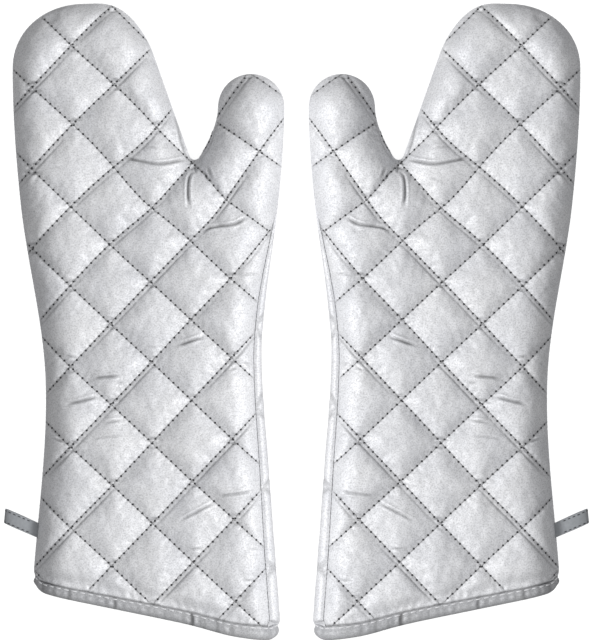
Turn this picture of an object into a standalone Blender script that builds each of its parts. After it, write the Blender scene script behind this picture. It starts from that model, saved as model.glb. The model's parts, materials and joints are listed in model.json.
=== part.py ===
"""A pair of quilted, heat resistant gauntlet mitts, lying side by side on a table.

Metres, +Z up. The fingers point to +Y, the thumbs meet in the middle, and the palms face up.
The origin is on the table, under the middle of the pair. Each mitt is sewn from a front and a
back panel, and each panel is a sandwich of silver cloth, wadding and cotton lining that the
quilting thread holds together. A folded tape binds the cuff, and a tape loop hangs the mitt.

One mitt is worked out in its own plan: x towards the thumb from the middle of the wrist, and
y up from the lowest corner of the cuff. The right mitt is the left one mirrored.
"""

import math

import bmesh
import bpy
from mathutils import Matrix, Vector

# Lengths up the mitt
GAUNTLET_LENGTH = 0.1733  # lowest cuff corner to wrist
PALM_LENGTH = 0.1513  # wrist to the crotch of the thumb
FINGER_LENGTH = 0.1073  # crotch to fingertips
THUMB_LENGTH = 0.0593  # crotch to the thumb's tip
THUMB_ROOT_DROP = 0.029  # crotch down to the widest part of the palm
CUFF_SLANT = 0.0345  # rise of the cuff's outer corner over its inner one

# Widths, and where their middles lie
CUFF_WIDTH, CUFF_CENTRE = 0.1681, 0.0002
WRIST_WIDTH, WRIST_CENTRE = 0.1472, -0.0016
PALM_WIDTH, PALM_CENTRE = 0.1763, -0.0043
FINGER_WIDTH, FINGER_CENTRE = 0.0990, -0.0485
THUMB_WIDTH, THUMB_CENTRE = 0.0454, 0.0653
FINGERTIP_HEIGHT = 0.0440  # height of the fingertips' half ellipse
CROTCH_X = 0.0266
CROTCH_RADIUS = 0.0036
THUMB_SPLAY = math.radians(30)  # lean of the thumb's inner side where it leaves the crotch

# Thickness of the mitt as it lies, and of what it is made of
CUFF_THICKNESS = 0.042
FINGERTIP_THICKNESS = 0.032
EDGE_ROUND = 0.018  # how far the sides round over, in plan
THUMB_FLAT = 0.004  # least half width of the flat that rounding leaves on the thumb
CLOTH, WADDING, LINING = 0.0010, 0.0055, 0.0008
GAP = 0.0003  # between neighbouring pieces

# The bound hem, where the sandwich is pressed thin
HEM_WIDTH = 0.0080
HEM_RAMP = 0.0045  # over which the sandwich swells to its full thickness
HEM_TAPE = 0.0009
HEM_CLOTH, HEM_WADDING, HEM_LINING = 0.0008, 0.0016, 0.0007
HEM_STITCH_INSET = 0.0018  # from the tape's edge to its line of stitches
STITCH_WIDTH, STITCH_HEIGHT = 0.0006, 0.0005

# Quilting
QUILT_PITCH = 0.0381
QUILT_CROSSING = Vector((-0.0305, 0.2130))  # where two lines of stitches cross
QUILT_THREAD = 0.0010
QUILT_BORDER = 0.0012

# Hanging loop of folded tape, in the outer side seam
LOOP_HEIGHT = 0.0729
LOOP_TAPE_WIDTH = 0.0095
LOOP_TAPE = 0.0009
LOOP_LENGTH = 0.0235
LOOP_EYE_LENGTH, LOOP_EYE_HEIGHT = 0.0130, 0.0068
LOOP_TILT = math.radians(22)  # the loop leans towards the fingers
LOOP_ROOT = 0.0006  # seam to the near end of the loop
LOOP_HINGE = 0.0016  # seam to the line that the tape bends on
LOOP_TAIL = 0.0060  # tape caught in the seam

PAIR_GAP = 0.0166  # between the two mitts' inner edges

# How finely curves are divided
SIDE_STEPS, FINGERTIP_STEPS, CROTCH_STEPS, THUMB_STEPS = 7, 8, 3, 6
EDGE_STEPS = 3
EYE_STEPS = 12

LEFT, RIGHT = -1, 1
FRONT, BACK = 1, -1

CUFF_Y = {"outer": CUFF_SLANT, "inner": 0.0}
WRIST_Y = GAUNTLET_LENGTH
CROTCH_Y = WRIST_Y + PALM_LENGTH
PALM_Y = CROTCH_Y - THUMB_ROOT_DROP
FINGERTIP_Y = CROTCH_Y + FINGER_LENGTH
THUMB_TIP_Y = CROTCH_Y + THUMB_LENGTH
FINGER_BASE_Y = FINGERTIP_Y - FINGERTIP_HEIGHT
THUMB_BASE_Y = THUMB_TIP_Y - THUMB_WIDTH / 2
FOLD = GAP + HEM_TAPE  # how far the binding reaches past the cut edge
MIDDLE_Y = (FINGERTIP_Y - FOLD) / 2
THUMB_EDGE = THUMB_CENTRE + THUMB_WIDTH / 2
INNER_EDGE = max(THUMB_EDGE, PALM_CENTRE + PALM_WIDTH / 2, CUFF_CENTRE + CUFF_WIDTH / 2)
ROUND = min(EDGE_ROUND, THUMB_WIDTH / 2 - THUMB_FLAT)
FULL_TURN = 2 * math.pi

# Depths of each layer's two faces, under the mitt's outer surface
CLOTH_DEPTHS = (0.0, CLOTH)
WADDING_DEPTHS = (CLOTH_DEPTHS[1] + GAP, CLOTH_DEPTHS[1] + GAP + WADDING)
LINING_DEPTHS = (WADDING_DEPTHS[1] + GAP, WADDING_DEPTHS[1] + GAP + LINING)
THREAD_DEPTHS = (LINING_DEPTHS[1] + GAP, LINING_DEPTHS[1] + GAP + STITCH_HEIGHT)

# The same in the hem, which starts with its own stitches and the binding's outer leaf
HEM_STITCH_DEPTHS = (GAP, GAP + STITCH_HEIGHT)
OUTER_LEAF = (HEM_STITCH_DEPTHS[1] + GAP, HEM_STITCH_DEPTHS[1] + GAP + HEM_TAPE)
HEM_CLOTH_DEPTHS = (OUTER_LEAF[1] + GAP, OUTER_LEAF[1] + GAP + HEM_CLOTH)
HEM_WADDING_DEPTHS = (HEM_CLOTH_DEPTHS[1] + GAP, HEM_CLOTH_DEPTHS[1] + GAP + HEM_WADDING)
HEM_LINING_DEPTHS = (HEM_WADDING_DEPTHS[1] + GAP, HEM_WADDING_DEPTHS[1] + GAP + HEM_LINING)
INNER_LEAF = (HEM_LINING_DEPTHS[1] + GAP, HEM_LINING_DEPTHS[1] + GAP + HEM_TAPE)

# Rows of points across the mitt at the cuff: its cut edge, the tape's edge and the ramp's end
HEM_ROWS = (0.0, HEM_WIDTH + GAP, HEM_WIDTH + GAP + HEM_RAMP)


def clear_scene():
    for obj in list(bpy.data.objects):
        bpy.data.objects.remove(obj)


def make_material(name, colour, roughness, metallic=0.0):
    material = bpy.data.materials.new(name)
    material.use_nodes = True
    shader = material.node_tree.nodes["Principled BSDF"]
    shader.inputs["Base Color"].default_value = (*colour, 1.0)
    shader.inputs["Roughness"].default_value = roughness
    shader.inputs["Metallic"].default_value = metallic
    return material


# ---- The mitt's plan ----


def hermite(start, end, start_slope, end_slope, share):
    """A cubic between two values, with its slopes given per whole span."""
    s2, s3 = share * share, share**3
    return (
        start * (2 * s3 - 3 * s2 + 1)
        + end * (3 * s2 - 2 * s3)
        + start_slope * (s3 - 2 * s2 + share)
        + end_slope * (s3 - s2)
    )


def edge_x(stations, y):
    """The x of a side edge at height y: a smooth curve through (y, x) stations, upright at the last."""
    heights = [station[0] for station in stations]
    slopes = []
    for i in range(len(stations)):
        low, high = stations[max(i - 1, 0)], stations[min(i + 1, len(stations) - 1)]
        slopes.append((high[1] - low[1]) / (high[0] - low[0]))
    slopes[-1] = 0.0
    if y <= heights[0]:
        return stations[0][1] + slopes[0] * (y - heights[0])
    i = min(sum(y > height for height in heights) - 1, len(stations) - 2)
    span = heights[i + 1] - heights[i]
    return hermite(
        stations[i][1],
        stations[i + 1][1],
        slopes[i] * span,
        slopes[i + 1] * span,
        (y - heights[i]) / span,
    )


SIDES = {
    "outer": [
        (CUFF_Y["outer"], CUFF_CENTRE - CUFF_WIDTH / 2),
        (WRIST_Y, WRIST_CENTRE - WRIST_WIDTH / 2),
        (PALM_Y, PALM_CENTRE - PALM_WIDTH / 2),
        (FINGER_BASE_Y, FINGER_CENTRE - FINGER_WIDTH / 2),
    ],
    "inner": [
        (CUFF_Y["inner"], CUFF_CENTRE + CUFF_WIDTH / 2),
        (WRIST_Y, WRIST_CENTRE + WRIST_WIDTH / 2),
        (PALM_Y, PALM_CENTRE + PALM_WIDTH / 2),
        (THUMB_BASE_Y, THUMB_EDGE),
    ],
}


def side_point(side, y):
    return Vector((edge_x(SIDES[side], y), y))


def side_run(side, top):
    """Evenly spaced points up one side, from above the hem's rows to just under top."""
    low = CUFF_Y[side] + HEM_ROWS[-1]
    return [
        side_point(side, low + (top - low) * i / SIDE_STEPS) for i in range(1, SIDE_STEPS)
    ]


def fingertip_point(angle):
    return Vector(
        (
            FINGER_CENTRE + FINGER_WIDTH / 2 * math.cos(angle),
            FINGER_BASE_Y + FINGERTIP_HEIGHT * math.sin(angle),
        )
    )


def finger_side():
    """(ellipse angle, lean) of the straight inner side, tangent to the fingertips and to the crotch."""
    centre = Vector((CROTCH_X, CROTCH_Y + CROTCH_RADIUS))
    lean = 0.0
    for _ in range(6):
        angle = math.atan(math.tan(lean) * FINGERTIP_HEIGHT / (FINGER_WIDTH / 2))
        top = fingertip_point(angle)
        bottom = centre - CROTCH_RADIUS * Vector((math.cos(lean), math.sin(lean)))
        lean = math.atan2(bottom.x - top.x, top.y - bottom.y)
    return angle, lean


def plan_outline():
    """The mitt's edge seen from above, from the outer cuff corner round to the inner one."""
    hem = {
        side: [side_point(side, CUFF_Y[side] + row) for row in HEM_ROWS] for side in SIDES
    }
    angle, lean = finger_side()
    fingertips = [
        fingertip_point(math.pi + (angle - math.pi) * i / FINGERTIP_STEPS)
        for i in range(FINGERTIP_STEPS + 1)
    ]
    centre = Vector((CROTCH_X, CROTCH_Y + CROTCH_RADIUS))
    start, end = math.pi + lean, FULL_TURN - THUMB_SPLAY
    crotch = []
    for i in range(CROTCH_STEPS + 1):
        turn = start + (end - start) * i / CROTCH_STEPS
        crotch.append(centre + CROTCH_RADIUS * Vector((math.cos(turn), math.sin(turn))))
    straight = [fingertips[-1].lerp(crotch[0], i / 4) for i in (1, 2, 3)]
    base = Vector((THUMB_CENTRE - THUMB_WIDTH / 2, THUMB_BASE_Y))
    rise = base.y - crotch[-1].y
    leaving = rise * Vector((math.sin(THUMB_SPLAY), math.cos(THUMB_SPLAY)))
    arriving = rise * Vector((0.0, 1.0))
    thumb_side = [hermite(crotch[-1], base, leaving, arriving, i / 4) for i in (1, 2, 3)]
    thumb_tip = []
    for i in range(THUMB_STEPS + 1):
        turn = math.pi * (1 - i / THUMB_STEPS)
        thumb_tip.append(
            Vector((THUMB_CENTRE, THUMB_BASE_Y))
            + THUMB_WIDTH / 2 * Vector((math.cos(turn), math.sin(turn)))
        )
    return (
        hem["outer"]
        + side_run("outer", FINGER_BASE_Y)
        + fingertips
        + straight
        + crotch
        + thumb_side
        + thumb_tip
        + side_run("inner", THUMB_BASE_Y)[::-1]
        + hem["inner"][::-1]
    )


def inward(points, i):
    """Unit direction into the mitt at a point of its edge. In the hem it runs along the cuff."""
    last, hem = len(points) - 1, len(HEM_ROWS)
    if i < hem or i > last - hem:
        across = points[last - i] - points[i]
        return across.normalized()
    along = (points[i + 1] - points[i - 1]).normalized()
    return Vector((along.y, -along.x))


# ---- From plan to solid ----


def thickness_at(y):
    share = y / FINGERTIP_Y
    return CUFF_THICKNESS + (FINGERTIP_THICKNESS - CUFF_THICKNESS) * share


def skin_point(edge, into, depth, angle, seam_rise):
    """A point under the mitt's surface. The angle runs from -90 degrees, underneath, to 90 on top."""
    spot = edge + into * (ROUND - (ROUND - depth) * math.cos(angle))
    half = thickness_at(spot.y) / 2
    return Vector((*spot, half + (half - depth) * math.sin(angle) + seam_rise))


def to_world(point, side):
    """From one mitt's plan to the pair's frame."""
    return Vector((side * (PAIR_GAP / 2 + INNER_EDGE - point.x), point.y - MIDDLE_Y, point.z))


def add_object(name, mesh, material, parent, origin=None):
    """An object at origin, with its mesh given in the pair's frame."""
    obj = bpy.data.objects.new(name, mesh)
    bpy.context.scene.collection.objects.link(obj)
    mesh.materials.append(material)
    mesh.shade_smooth()
    mesh.set_sharp_from_angle(angle=math.radians(35))
    spot = origin or Vector((0, 0, 0))
    mesh.transform(Matrix.Translation(-spot))
    obj.location = spot
    if parent:
        obj.parent = parent
        obj.matrix_parent_inverse = Matrix.Translation(parent.location).inverted()
    return obj


def mesh_of(name, bm):
    bmesh.ops.recalc_face_normals(bm, faces=bm.faces)
    mesh = bpy.data.meshes.new(name)
    bm.to_mesh(mesh)
    bm.free()
    return mesh


def is_hem_row(points, i):
    """True in the two rows that lie under the binding."""
    return i < 2 or i > len(points) - 3


def panel_skin(bm, points, face, side, depth, hem_depth):
    """The vertices of one face of a layer: a list of columns, each from the seam to the flat."""
    rise = GAP if face == FRONT else 0.0
    columns = []
    for i, edge in enumerate(points):
        under = hem_depth if is_hem_row(points, i) else depth
        column = []
        for step in range(EDGE_STEPS + 1):
            angle = face * math.pi / 2 * step / EDGE_STEPS
            point = skin_point(edge, inward(points, i), under, angle, rise)
            column.append(bm.verts.new(to_world(point, side)))
        columns.append(column)
    return columns


def skin_faces(bm, columns):
    """Covers a skin: strips round the edge, quads across the hem and one flat polygon."""
    last, hem = len(columns) - 1, len(HEM_ROWS)
    for a, b in zip(columns, columns[1:]):
        for step in range(EDGE_STEPS):
            bm.faces.new((a[step], a[step + 1], b[step + 1], b[step]))
    for i in range(hem - 1):
        bm.faces.new(
            (columns[i][-1], columns[i + 1][-1], columns[last - i - 1][-1], columns[last - i][-1])
        )
    bm.faces.new([column[-1] for column in columns[hem - 1 : last - hem + 2]])


def build_layer(name, points, face, side, depths, hem_depths, material, parent):
    """One closed layer of a panel, between two depths under the mitt's surface."""
    bm = bmesh.new()
    top = panel_skin(bm, points, face, side, depths[0], hem_depths[0])
    under = panel_skin(bm, points, face, side, depths[1], hem_depths[1])
    skin_faces(bm, top)
    skin_faces(bm, under)
    for i in range(len(points) - 1):
        bm.faces.new((top[i][0], top[i + 1][0], under[i + 1][0], under[i][0]))
    cut_top = top[0] + top[-1][::-1]
    cut_under = under[0] + under[-1][::-1]
    for i in range(len(cut_top) - 1):
        bm.faces.new((cut_top[i], cut_top[i + 1], cut_under[i + 1], cut_under[i]))
    return add_object(name, mesh_of(name, bm), material, parent)


def sweep(bm, rings, closed):
    """Joins rings of vertices into a tube, which is capped unless it closes on itself."""
    pairs = list(zip(rings, rings[1:]))
    if closed:
        pairs.append((rings[-1], rings[0]))
    else:
        bm.faces.new(rings[0])
        bm.faces.new(rings[-1])
    for a, b in pairs:
        for i in range(len(a)):
            j = (i + 1) % len(a)
            bm.faces.new((a[i], a[j], b[j], b[i]))


def cuff_ring(bm, section, side):
    """Sweeps a section of (height over the cut edge, depth) corners round the cuff."""
    turns = range(-EDGE_STEPS, EDGE_STEPS + 1)
    stations = [("outer", turn) for turn in turns]
    stations += [("inner", -turn) for turn in turns]
    rings = []
    for edge_side, turn in stations:
        rise = GAP * (turn > 0) + GAP / 2 * (turn == 0)
        ring = []
        for row, depth in section:
            ends = {key: side_point(key, CUFF_Y[key] + row) for key in SIDES}
            edge = ends[edge_side]
            across = (ends["inner"] - ends["outer"]).normalized()
            into = across if edge_side == "outer" else -across
            point = skin_point(edge, into, depth, math.pi / 2 * turn / EDGE_STEPS, rise)
            ring.append(bm.verts.new(to_world(point, side)))
        rings.append(ring)
    sweep(bm, rings, closed=True)


def build_binding(name, side, material, parent):
    """A tape folded over the cut edge of both panels, all the way round the cuff."""
    section = [
        (HEM_WIDTH, OUTER_LEAF[0]),
        (-FOLD, OUTER_LEAF[0]),
        (-FOLD, INNER_LEAF[1]),
        (HEM_WIDTH, INNER_LEAF[1]),
        (HEM_WIDTH, INNER_LEAF[0]),
        (-GAP, INNER_LEAF[0]),
        (-GAP, OUTER_LEAF[1]),
        (HEM_WIDTH, OUTER_LEAF[1]),
    ]
    bm = bmesh.new()
    cuff_ring(bm, section, side)
    return add_object(name, mesh_of(name, bm), material, parent)


def build_binding_thread(name, side, material, parent):
    """The line of stitches that holds the binding, on its outside."""
    high = HEM_WIDTH - HEM_STITCH_INSET
    low = high - STITCH_WIDTH
    shallow, deep = HEM_STITCH_DEPTHS
    bm = bmesh.new()
    cuff_ring(bm, [(high, shallow), (low, shallow), (low, deep), (high, deep)], side)
    return add_object(name, mesh_of(name, bm), material, parent)


def build_seam_thread(name, points, side, material, parent):
    """The stitches that close the side seam, just inside the linings, from cuff to cuff."""
    shallow = LINING_DEPTHS[1] + 1.5 * GAP
    deep = shallow + STITCH_WIDTH
    bm = bmesh.new()
    rings = []
    for i in range(len(HEM_ROWS) - 1, len(points) - len(HEM_ROWS) + 1):
        ring = []
        for depth, lift in ((shallow, -1), (deep, -1), (deep, 1), (shallow, 1)):
            rise = (GAP + lift * STITCH_HEIGHT) / 2
            point = skin_point(points[i], inward(points, i), depth, 0.0, rise)
            ring.append(bm.verts.new(to_world(point, side)))
        rings.append(ring)
    sweep(bm, rings, closed=False)
    return add_object(name, mesh_of(name, bm), material, parent)


# ---- Quilting thread ----


def flat_prism(name, points, inset, face, depths, side):
    """The mitt's flat, inset from its edge, between two depths, or of any height if depths is None."""
    bm = bmesh.new()
    loops = ([], [])
    hem = len(HEM_ROWS) - 1
    kept = range(hem, len(points) - hem)
    for loop, end in zip(loops, (0, 1)):
        for i in kept:
            spot = points[i] + inward(points, i) * inset
            if i in (kept[0], kept[-1]):
                spot.y += inset - ROUND
            if depths is None:
                height = (-1, 1)[end] * CUFF_THICKNESS
            elif face == FRONT:
                height = thickness_at(spot.y) - depths[end] + GAP
            else:
                height = depths[end]
            loop.append(bm.verts.new(to_world(Vector((*spot, height)), side)))
    bm.faces.new(loops[0])
    bm.faces.new(loops[1])
    for i in range(len(kept)):
        j = (i + 1) % len(kept)
        bm.faces.new((loops[0][i], loops[0][j], loops[1][j], loops[1][i]))
    return mesh_of(name, bm)


def quilt_cells(name, side):
    """A tall square bar for each quilted diamond, a thread's width smaller than the diamond."""
    bm = bmesh.new()
    half_diagonal = QUILT_PITCH / math.sqrt(2)
    reach = (QUILT_PITCH - QUILT_THREAD) / math.sqrt(2)
    columns = math.ceil((PALM_WIDTH + CUFF_WIDTH) / 2 / half_diagonal)
    rows = math.ceil(FINGERTIP_Y / half_diagonal)
    for i in range(-columns, columns + 1):
        for j in range(-rows, rows + 1):
            centre = QUILT_CROSSING + half_diagonal * Vector((i, j))
            if (i + j) % 2 == 0 or not 0 < centre.y < FINGERTIP_Y:
                continue
            corners = [
                centre + reach * Vector((math.cos(turn), math.sin(turn)))
                for turn in (0, math.pi / 2, math.pi, 3 * math.pi / 2)
            ]
            ends = [
                [bm.verts.new(to_world(Vector((*corner, height)), side)) for corner in corners]
                for height in (-2 * CUFF_THICKNESS, 2 * CUFF_THICKNESS)
            ]
            sweep(bm, ends, closed=False)
    return mesh_of(name, bm)


def hide_helper(obj):
    obj.hide_render = True
    obj.display_type = "WIRE"


def add_boolean(obj, other, operation):
    modifier = obj.modifiers.new(operation.lower(), "BOOLEAN")
    modifier.operation = operation
    modifier.object = other
    modifier.solver = "EXACT"


def build_quilting(name, points, face, side, material, parent):
    """One panel's lines of quilting on its lining, with the basting round their ends: one net of thread."""
    net = add_object(
        name, flat_prism(name, points, ROUND, face, THREAD_DEPTHS, side), material, parent
    )
    holes = add_object(name + "_diamonds", quilt_cells(name, side), material, parent)
    field = add_object(
        name + "_field",
        flat_prism(name, points, ROUND + QUILT_BORDER, face, None, side),
        material,
        parent,
    )
    hide_helper(holes)
    hide_helper(field)
    add_boolean(holes, field, "INTERSECT")
    add_boolean(net, holes, "DIFFERENCE")
    return net


# ---- Hanging loop ----


def loop_frame():
    """(point of the seam, way out, way up the seam) at the hanging loop, in the mitt's plan."""
    spot = side_point("outer", LOOP_HEIGHT)
    step = side_point("outer", LOOP_HEIGHT + LOOP_TAPE_WIDTH / 2) - spot
    up = step.normalized()
    return spot, Vector((-up.y, up.x)), up


def loop_point(out, across, height, side):
    spot, way_out, way_up = loop_frame()
    plan = spot + way_out * out + way_up * across
    middle = thickness_at(spot.y) / 2 + GAP / 2
    return to_world(Vector((*plan, middle + height)), side)


def loop_box(name, near, far, half_width, half_height, side):
    bm = bmesh.new()
    rings = []
    for out in (near, far):
        corners = ((-1, -1), (1, -1), (1, 1), (-1, 1))
        rings.append(
            [
                bm.verts.new(loop_point(out, a * half_width, b * half_height, side))
                for a, b in corners
            ]
        )
    sweep(bm, rings, closed=False)
    return mesh_of(name, bm)


def build_loop_tail(name, side, material, parent):
    """The tape's two ends, caught between the panels."""
    mesh = loop_box(name, -LOOP_TAIL, 0.0, LOOP_TAPE_WIDTH / 2, LOOP_TAPE, side)
    return add_object(name, mesh, material, parent)


def cut_tail_pocket(layers, side, parent):
    """Makes room for the tape's ends in the layers that they pass through."""
    mesh = loop_box(
        "loop_pocket",
        -LOOP_TAIL - GAP,
        LOOP_ROOT,
        LOOP_TAPE_WIDTH / 2 + GAP,
        LOOP_TAPE + GAP,
        side,
    )
    cutter = add_object("loop_pocket", mesh, layers[0].data.materials[0], parent)
    hide_helper(cutter)
    for layer in layers:
        add_boolean(layer, cutter, "DIFFERENCE")


def build_loop(name, side, material, parent):
    """The folded tape outside the seam: its two leaves open into an eye, with the fold at the far end."""
    eye_x = LOOP_LENGTH - LOOP_TAPE - LOOP_EYE_LENGTH / 2
    half_eye = Vector((LOOP_EYE_LENGTH / 2, LOOP_EYE_HEIGHT / 2))
    half_outside = half_eye + Vector((LOOP_TAPE, LOOP_TAPE))
    opening = math.radians(120)  # the outside leaves the eye's ellipse here, towards the root
    outside = [Vector((LOOP_ROOT, -LOOP_TAPE))]
    for i in range(EYE_STEPS + 1):
        turn = opening * (2 * i / EYE_STEPS - 1)
        outside.append(
            Vector((eye_x + half_outside.x * math.cos(turn), half_outside.y * math.sin(turn)))
        )
    outside.append(Vector((LOOP_ROOT, LOOP_TAPE)))
    inside = []
    for i in range(EYE_STEPS):
        turn = FULL_TURN * i / EYE_STEPS
        inside.append(
            Vector((eye_x + half_eye.x * math.cos(turn), half_eye.y * math.sin(turn)))
        )
    bm = bmesh.new()
    half = LOOP_TAPE_WIDTH / 2
    loops = {}
    for across in (-half, half):
        for key, profile in (("outside", outside), ("inside", inside)):
            loops[key, across] = [
                bm.verts.new(
                    loop_point(p.x, across + p.x * math.tan(LOOP_TILT), p.y, side)
                )
                for p in profile
            ]
        edges = []
        for key in ("outside", "inside"):
            ring = loops[key, across]
            edges += [bm.edges.new((a, b)) for a, b in zip(ring, ring[1:] + ring[:1])]
        bmesh.ops.triangle_fill(bm, edges=edges, use_beauty=True)
    for key in ("outside", "inside"):
        near, far = loops[key, -half], loops[key, half]
        for i in range(len(near)):
            j = (i + 1) % len(near)
            bm.faces.new((near[i], near[j], far[j], far[i]))
    origin = loop_point(LOOP_HINGE, 0.0, 0.0, side)
    return add_object(name, mesh_of(name, bm), material, parent, origin)


# ---- Assembly ----


def make_palette():
    return {
        "silver": make_material("silver_cloth", (0.66, 0.67, 0.69), 0.42, 0.55),
        "wadding": make_material("wadding", (0.88, 0.87, 0.84), 0.95),
        "lining": make_material("cotton_lining", (0.70, 0.69, 0.66), 0.90),
        "binding": make_material("binding_tape", (0.60, 0.61, 0.63), 0.40, 0.50),
        "thread": make_material("thread", (0.16, 0.16, 0.17), 0.60),
        "tape": make_material("loop_tape", (0.34, 0.37, 0.40), 0.75),
    }


def build_mitt(prefix, side, palette):
    points = plan_outline()
    body = bpy.data.objects.new(prefix + "_mitt", None)
    body.location = to_world(Vector((0.0, WRIST_Y, 0.0)), side)
    bpy.context.scene.collection.objects.link(body)
    layers = {
        "shell": (CLOTH_DEPTHS, HEM_CLOTH_DEPTHS, palette["silver"]),
        "wadding": (WADDING_DEPTHS, HEM_WADDING_DEPTHS, palette["wadding"]),
        "lining": (LINING_DEPTHS, HEM_LINING_DEPTHS, palette["lining"]),
    }
    pocketed = []
    for face_name, face in (("front", FRONT), ("back", BACK)):
        for layer_name, (depths, hem_depths, material) in layers.items():
            name = f"{prefix}_{face_name}_{layer_name}"
            layer = build_layer(name, points, face, side, depths, hem_depths, material, body)
            if layer_name != "lining":
                pocketed.append(layer)
        name = f"{prefix}_{face_name}_quilting_thread"
        build_quilting(name, points, face, side, palette["thread"], body)
    cut_tail_pocket(pocketed, side, body)
    build_binding(prefix + "_cuff_binding", side, palette["binding"], body)
    build_binding_thread(prefix + "_binding_thread", side, palette["thread"], body)
    build_seam_thread(prefix + "_side_seam_thread", points, side, palette["thread"], body)
    build_loop_tail(prefix + "_loop_tail", side, palette["tape"], body)
    build_loop(prefix + "_hanging_loop", side, palette["tape"], body)


def main():
    clear_scene()
    palette = make_palette()
    build_mitt("left", LEFT, palette)
    build_mitt("right", RIGHT, palette)


main()
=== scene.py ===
import json
import math

import bmesh
import bpy
import numpy as np
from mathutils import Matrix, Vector, geometry
from mathutils.bvhtree import BVHTree


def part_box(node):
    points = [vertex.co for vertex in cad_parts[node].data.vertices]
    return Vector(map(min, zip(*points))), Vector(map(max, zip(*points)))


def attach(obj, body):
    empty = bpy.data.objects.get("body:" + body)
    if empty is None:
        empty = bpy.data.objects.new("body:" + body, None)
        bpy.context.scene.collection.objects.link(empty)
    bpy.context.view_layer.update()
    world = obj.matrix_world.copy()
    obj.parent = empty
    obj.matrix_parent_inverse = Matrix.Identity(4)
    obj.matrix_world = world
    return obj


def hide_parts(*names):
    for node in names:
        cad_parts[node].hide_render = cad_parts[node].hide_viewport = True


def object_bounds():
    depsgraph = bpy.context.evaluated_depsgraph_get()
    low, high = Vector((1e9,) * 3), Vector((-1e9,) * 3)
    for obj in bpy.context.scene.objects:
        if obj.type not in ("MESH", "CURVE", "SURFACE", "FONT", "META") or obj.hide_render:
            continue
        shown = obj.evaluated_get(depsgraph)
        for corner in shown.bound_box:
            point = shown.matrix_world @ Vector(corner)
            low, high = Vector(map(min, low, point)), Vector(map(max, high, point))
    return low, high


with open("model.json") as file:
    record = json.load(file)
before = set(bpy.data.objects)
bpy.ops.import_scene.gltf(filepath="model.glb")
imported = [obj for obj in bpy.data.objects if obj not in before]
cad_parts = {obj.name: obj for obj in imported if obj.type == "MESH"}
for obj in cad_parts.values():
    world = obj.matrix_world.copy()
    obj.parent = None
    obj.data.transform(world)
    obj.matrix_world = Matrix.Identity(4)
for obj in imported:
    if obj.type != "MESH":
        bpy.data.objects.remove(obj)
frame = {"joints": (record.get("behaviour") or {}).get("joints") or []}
cad_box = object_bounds()

# Lengths in metres. One mitt is worked out in its own plan: x towards the thumb, y up from the
# cuff's lowest corner, z up from the table. It becomes the left mitt, and its mirror image the
# right one.
LEFT_INNER_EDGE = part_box("left_front_shell")[1].x
CUFF_FOLD = 0.0012  # how far the binding reaches below the panels' cut edge
THUMB_EDGE = 0.0880
PLAN_X = LEFT_INNER_EDGE - THUMB_EDGE
PLAN_Y = cad_box[0].y + CUFF_FOLD
FINGERTIP_Y = cad_box[1].y - PLAN_Y

# The mitt's outline, as (y, x) stations up its sides, and round ends. The inner side is 2 to 3 mm
# wider than part.py's between the cuff and the narrowest place, as in the photo.
CUFF_SLANT = 0.0345
SIDES = {
    "outer": [(CUFF_SLANT, -0.08385), (0.1733, -0.0752), (0.2956, -0.09245), (0.3879, -0.0980)],
    "inner": [
        (0.0, 0.0862), (0.1063, 0.0783), (0.188, 0.0727), (0.2294, 0.0754),
        (0.2956, 0.08385), (0.3612, THUMB_EDGE),
    ],
}
FINGERS = {"x": -0.0485, "y": 0.3879, "width": 0.0495, "height": FINGERTIP_Y - 0.3872}
FINGER_SQUARENESS = 0.97  # under 1, the outer half of the fingertips is fuller than an ellipse
# how the fingertips' inner half departs from an ellipse: it is flatter, then straighter
FINGER_SHOULDER = (1.085, -2.469, 1.263)
THUMB = {"x": 0.0653, "y": 0.3612, "radius": THUMB_EDGE - 0.0653}
CROTCH = {"x": 0.0266, "y": 0.3282, "radius": 0.0036}
THUMB_SPLAY = math.radians(30)
OUTLINE_STEP = 0.002

# The lie of the mitt
CUFF_THICKNESS, FINGERTIP_THICKNESS = 0.0412, 0.0312
EDGE_ROUND = 0.0225  # how far the sides round over, in plan
# (y, width) of the back panel's edge that wraps over onto the front beside the inner seam
WRAP = [(-0.03, 0.0068), (0.052, 0.0068), (0.140, 0.0055), (0.229, 0.0045), (0.270, 0.0021), (0.300, 0.0)]
WRAP_COLUMNS = 9

# Quilting
QUILT_PITCH = 0.0381
QUILT_CROSSING = {"front": (-0.0305, 0.2130), "back": (-0.0305, 0.2065)}
QUILT_STRETCH, QUILT_CLIMB = 0.02, 0.05
THUMB_LEAN, THUMB_CLIMB = 0.15, 0.16
QUILT_WANDER = 0.0004
CELL_LOT = (12.9898, 78.233)  # turns a diamond's place into a lot of its own
LOT_SCALE = 43758.5453  # scatters the lots, so that neighbours differ
CELL_STEPS = 16
SPACING = QUILT_PITCH / CELL_STEPS
HALF_DIAGONAL = math.sqrt(0.5)
PUFF = 0.0040  # how far the wadding lifts the cloth over its stitches
PUFF_LIMIT = 1.6 * PUFF  # the furthest that the simulation may move a point
REST_SOFTNESS = 0.0014  # how gently the underside turns flat where it lies on the table
STITCH_PITCH = 0.0044
SEAM_DIP = 0.0009  # depth of the groove where the two panels meet beside the inner side

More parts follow.
